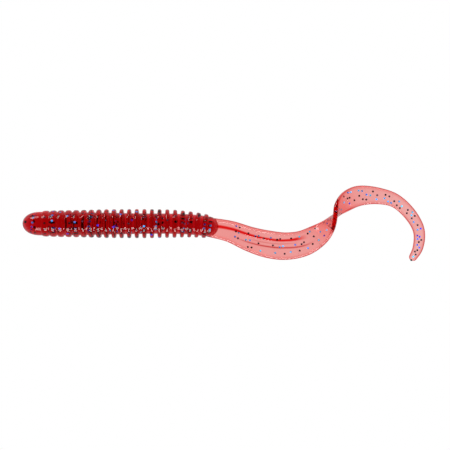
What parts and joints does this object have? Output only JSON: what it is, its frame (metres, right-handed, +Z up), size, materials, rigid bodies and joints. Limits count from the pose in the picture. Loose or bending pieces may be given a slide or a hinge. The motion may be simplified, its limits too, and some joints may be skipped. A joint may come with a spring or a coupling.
{
  "type": "soft plastic fishing worm",
  "caption": "Soft plastic fishing worm with a blunt nose, a ringed round body and a flat ribbon tail that twists half a turn into an open curl; translucent red with glitter",
  "frame": {"origin": "centre of the bounding box in plan, at the height of the surface that the worm lies on", "axes": "+X from nose to tail, +Z up from the surface the worm lies on, +Y across it to the side that the twist rises towards; the tail's tip curls back to -Y"},
  "size_m": [0.1516, 0.0293, 0.0108],
  "materials": {
    "soft_body": "glossy, translucent red soft plastic",
    "soft_tail": "glossy, thin translucent red soft plastic that looks pink",
    "blue_flake": "metallic blue glitter",
    "black_flake": "black glitter"
  },
  "bodies": {
    "head": {"head": "soft_body", "blue_flakes_head": "blue_flake", "black_flakes_head": "black_flake"},
    "ribbed_body_1": {"ribbed_body_1": "soft_body", "blue_flakes_body_1": "blue_flake", "black_flakes_body_1": "black_flake"},
    "ribbed_body_2": {"ribbed_body_2": "soft_body", "blue_flakes_body_2": "blue_flake", "black_flakes_body_2": "black_flake"},
    "ribbed_body_3": {"ribbed_body_3": "soft_body", "blue_flakes_body_3": "blue_flake", "black_flakes_body_3": "black_flake"},
    "ribbed_body_4": {"ribbed_body_4": "soft_body", "blue_flakes_body_4": "blue_flake", "black_flakes_body_4": "black_flake"},
    "ribbed_body_5": {"ribbed_body_5": "soft_body", "blue_flakes_body_5": "blue_flake", "black_flakes_body_5": "black_flake"},
    "ribbed_body_6": {"ribbed_body_6": "soft_body", "blue_flakes_body_6": "blue_flake", "black_flakes_body_6": "black_flake"},
    "tail_root": {"tail_root": "soft_body", "blue_flakes_root": "blue_flake", "black_flakes_root": "black_flake"},
    "tail_stem": {"tail_stem": "soft_tail", "blue_flakes_tail_stem": "blue_flake", "black_flakes_tail_stem": "black_flake"},
    "paddle_front": {"paddle_front": "soft_tail", "blue_flakes_paddle_front": "blue_flake", "black_flakes_paddle_front": "black_flake"},
    "paddle_rear": {"paddle_rear": "soft_tail", "blue_flakes_paddle_rear": "blue_flake", "black_flakes_paddle_rear": "black_flake"},
    "twist_1": {"twist_1": "soft_tail", "blue_flakes_twist_1": "blue_flake", "black_flakes_twist_1": "black_flake"},
    "twist_2": {"twist_2": "soft_tail", "blue_flakes_twist_2": "blue_flake", "black_flakes_twist_2": "black_flake"},
    "twist_3": {"twist_3": "soft_tail", "blue_flakes_twist_3": "blue_flake", "black_flakes_twist_3": "black_flake"},
    "twist_4": {"twist_4": "soft_tail", "blue_flakes_twist_4": "blue_flake", "black_flakes_twist_4": "black_flake"},
    "curl_1": {"curl_1": "soft_tail", "blue_flakes_curl_1": "blue_flake", "black_flakes_curl_1": "black_flake"},
    "curl_2": {"curl_2": "soft_tail", "blue_flakes_curl_2": "blue_flake", "black_flakes_curl_2": "black_flake"},
    "curl_3": {"curl_3": "soft_tail", "blue_flakes_curl_3": "blue_flake", "black_flakes_curl_3": "black_flake"},
    "tail_tip": {"tail_tip": "soft_tail", "blue_flakes_tail_tip": "blue_flake", "black_flakes_tail_tip": "black_flake"}
  },
  "joints": [
    {"name": "body_bend_1_sideways", "type": "hinge", "parent": "head", "child": "ribbed_body_1", "pos_m": [-0.06216, 0.0005, 0.005], "axis": [0, 0, 1], "range_deg": [-12, 12], "stiffness_Nm_per_rad": 0.0028},
    {"name": "body_bend_2_up_down", "type": "hinge", "parent": "ribbed_body_1", "child": "ribbed_body_2", "pos_m": [-0.05367, 0.0005, 0.00512], "axis": [0, -1, 0], "range_deg": [-12, 12], "stiffness_Nm_per_rad": 0.0028},
    {"name": "body_bend_3_sideways", "type": "hinge", "parent": "ribbed_body_2", "child": "ribbed_body_3", "pos_m": [-0.04519, 0.0005, 0.00536], "axis": [0, 0, 1], "range_deg": [-12, 12], "stiffness_Nm_per_rad": 0.0028},
    {"name": "body_bend_4_up_down", "type": "hinge", "parent": "ribbed_body_3", "child": "ribbed_body_4", "pos_m": [-0.0367, 0.0005, 0.00542], "axis": [0, -1, 0], "range_deg": [-12, 12], "stiffness_Nm_per_rad": 0.0028},
    {"name": "body_bend_5_sideways", "type": "hinge", "parent": "ribbed_body_4", "child": "ribbed_body_5", "pos_m": [-0.02821, 0.0005, 0.00542], "axis": [0, 0, 1], "range_deg": [-12, 12], "stiffness_Nm_per_rad": 0.0028},
    {"name": "body_bend_6_up_down", "type": "hinge", "parent": "ribbed_body_5", "child": "ribbed_body_6", "pos_m": [-0.01973, 0.00047, 0.00528], "axis": [0, -1, 0], "range_deg": [-12, 12], "stiffness_Nm_per_rad": 0.0028},
    {"name": "body_bend_7_sideways", "type": "hinge", "parent": "ribbed_body_6", "child": "tail_root", "pos_m": [-0.01126, 0.00005, 0.00475], "axis": [0, 0, 1], "range_deg": [-7, 14], "stiffness_Nm_per_rad": 0.0028},
    {"name": "tail_bend_stem", "type": "hinge", "parent": "tail_root", "child": "tail_stem", "pos_m": [0.00577, -0.00387, 0.00388], "axis": [-0.3869, -0.9221, 0], "range_deg": [-25, 25], "stiffness_Nm_per_rad": 0.000076},
    {"name": "tail_bend_paddle_front", "type": "hinge", "parent": "tail_stem", "child": "paddle_front", "pos_m": [0.01462, -0.00688, 0.00193], "axis": [-0.2378, -0.9713, 0], "range_deg": [-25, 25], "stiffness_Nm_per_rad": 0.000082},
    {"name": "tail_bend_paddle_rear", "type": "hinge", "parent": "paddle_front", "child": "paddle_rear", "pos_m": [0.023, -0.008, 0.001], "axis": [0.0186, -0.9998, 0], "range_deg": [-25, 25], "stiffness_Nm_per_rad": 0.000087},
    {"name": "tail_bend_twist_1", "type": "hinge", "parent": "paddle_rear", "child": "twist_1", "pos_m": [0.03082, -0.00644, 0.00166], "axis": [0.3856, -0.9152, 0.1168], "range_deg": [-25, 25], "stiffness_Nm_per_rad": 0.000088},
    {"name": "tail_bend_twist_2", "type": "hinge", "parent": "twist_1", "child": "twist_2", "pos_m": [0.03665, -0.00252, 0.00379], "axis": [0.3743, -0.6888, 0.6208], "range_deg": [-25, 25], "stiffness_Nm_per_rad": 0.0001},
    {"name": "tail_bend_twist_3", "type": "hinge", "parent": "twist_2", "child": "twist_3", "pos_m": [0.04056, 0.00233, 0.00469], "axis": [0.0936, -0.0412, 0.9948], "range_deg": [-25, 25], "stiffness_Nm_per_rad": 0.00013},
    {"name": "tail_bend_twist_4", "type": "hinge", "parent": "twist_3", "child": "twist_4", "pos_m": [0.0435, 0.0067, 0.00405], "axis": [-0.3176, 0.5646, 0.7618], "range_deg": [-25, 25], "stiffness_Nm_per_rad": 0.000091},
    {"name": "tail_bend_curl_1", "type": "hinge", "parent": "twist_4", "child": "curl_1", "pos_m": [0.04905, 0.01057, 0.00174], "axis": [-0.2997, 0.94, 0.163], "range_deg": [-25, 25], "stiffness_Nm_per_rad": 0.000053},
    {"name": "tail_bend_curl_2", "type": "hinge", "parent": "curl_1", "child": "curl_2", "pos_m": [0.0582, 0.011, 0.00095], "axis": [0.1496, 0.9888, 0], "range_deg": [-25, 25], "stiffness_Nm_per_rad": 0.00003},
    {"name": "tail_bend_curl_3", "type": "hinge", "parent": "curl_2", "child": "curl_3", "pos_m": [0.06754, 0.00695, 0.0009], "axis": [0.6759, 0.737, 0], "range_deg": [-25, 25], "stiffness_Nm_per_rad": 0.000017},
    {"name": "tail_bend_tip", "type": "hinge", "parent": "curl_3", "child": "tail_tip", "pos_m": [0.0735, -0.002, 0.0009], "axis": [0.9715, 0.2369, 0], "range_deg": [-25, 25], "stiffness_Nm_per_rad": 0.000013}
  ]
}
